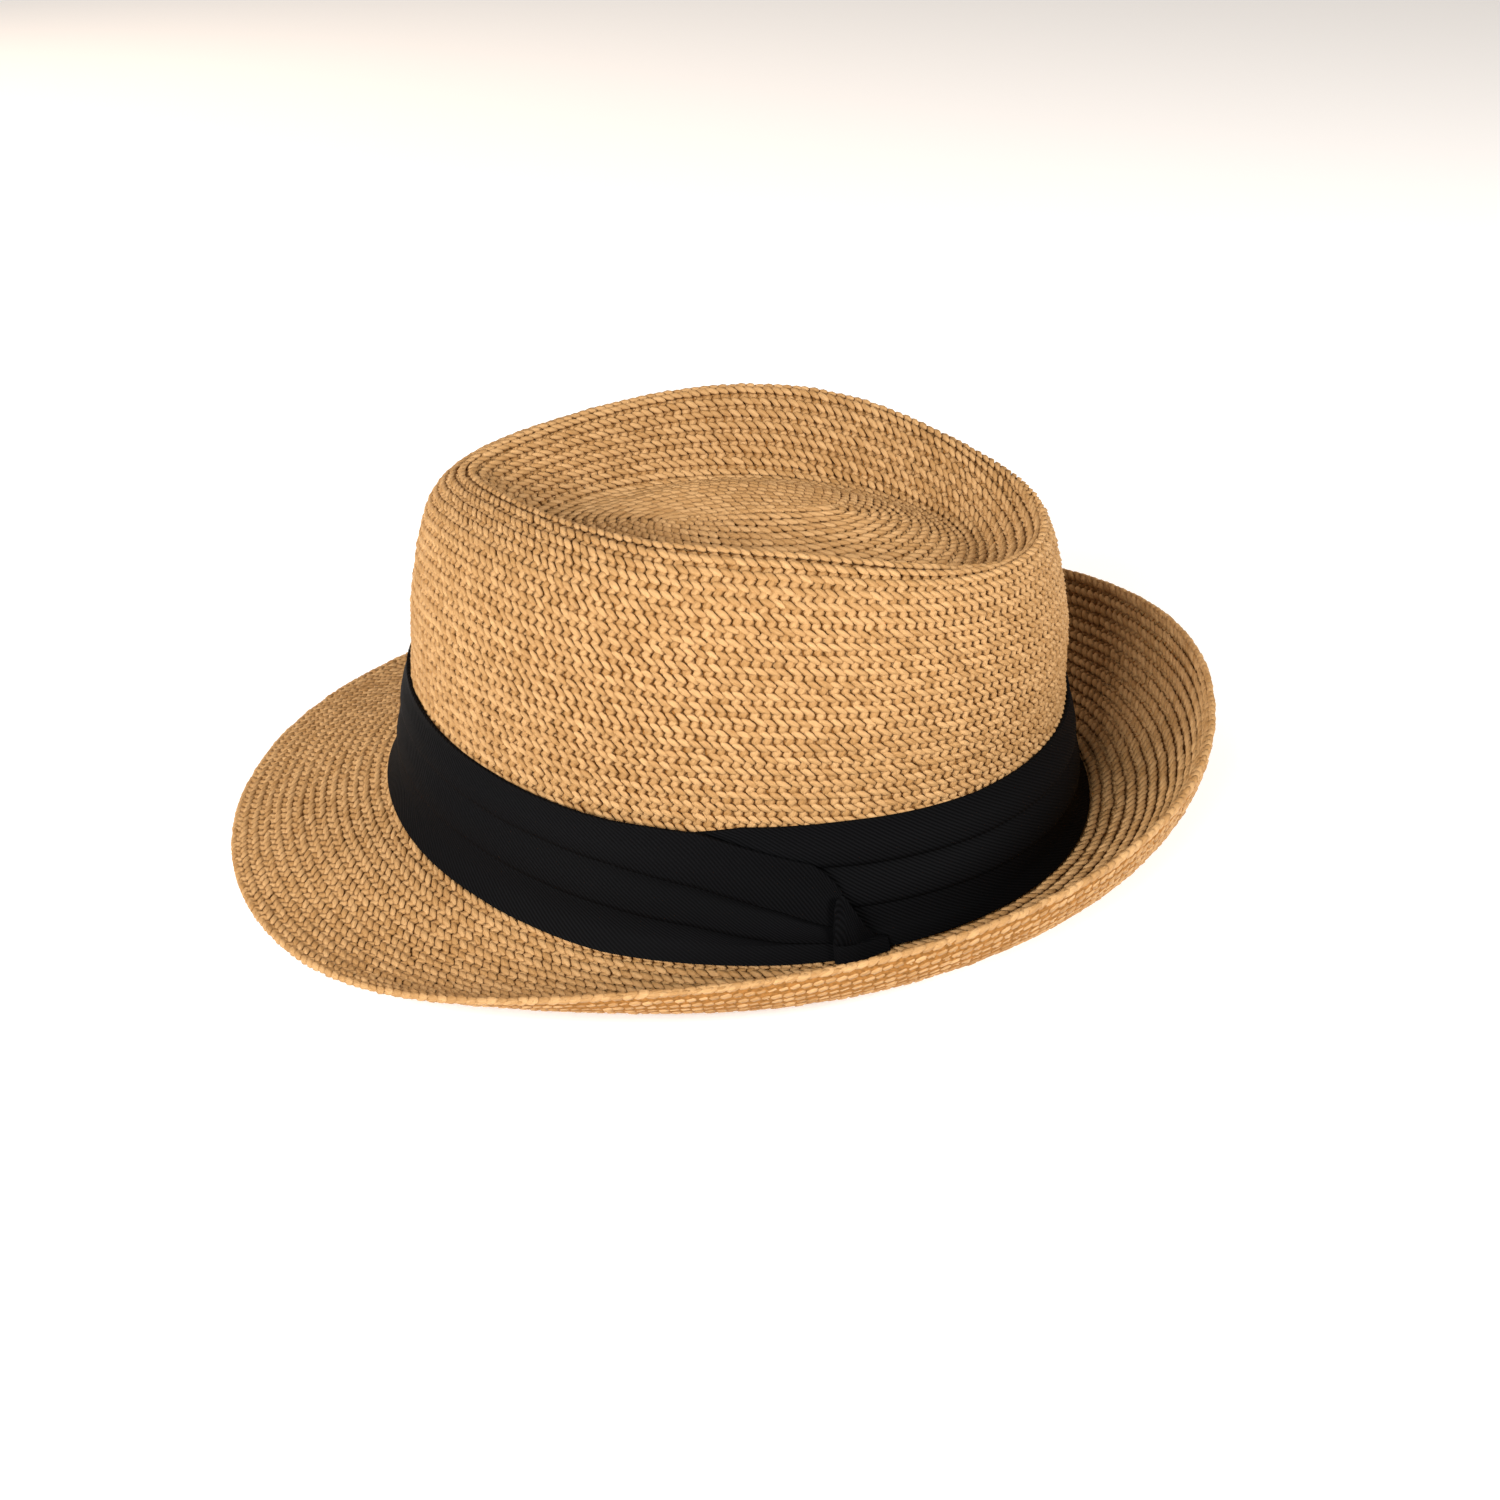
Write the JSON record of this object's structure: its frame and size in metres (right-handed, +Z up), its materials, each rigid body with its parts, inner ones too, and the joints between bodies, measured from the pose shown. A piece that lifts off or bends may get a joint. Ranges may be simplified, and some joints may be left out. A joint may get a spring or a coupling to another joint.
{
  "type": "straw trilby",
  "caption": "Knitted straw trilby: hollow crown with a teardrop dent, brim down in front and turned up round the sides and back, pleated black cloth band with a tuck.",
  "frame": {"origin": "on the surface that the hat rests on, under the middle of its bounding box", "axes": "+Z up, -Y towards the front of the hat, +X towards the wearer's left"},
  "size_m": [0.2648, 0.2876, 0.1091],
  "materials": {
    "straw": "knitted paper straw, honey tan, matt",
    "band_cloth": "black cotton twill, pleated, matt"
  },
  "bodies": {
    "root": {"crown": "straw", "brim": "straw", "hatband": "band_cloth", "band_tuck": "band_cloth"}
  },
  "joints": []
}
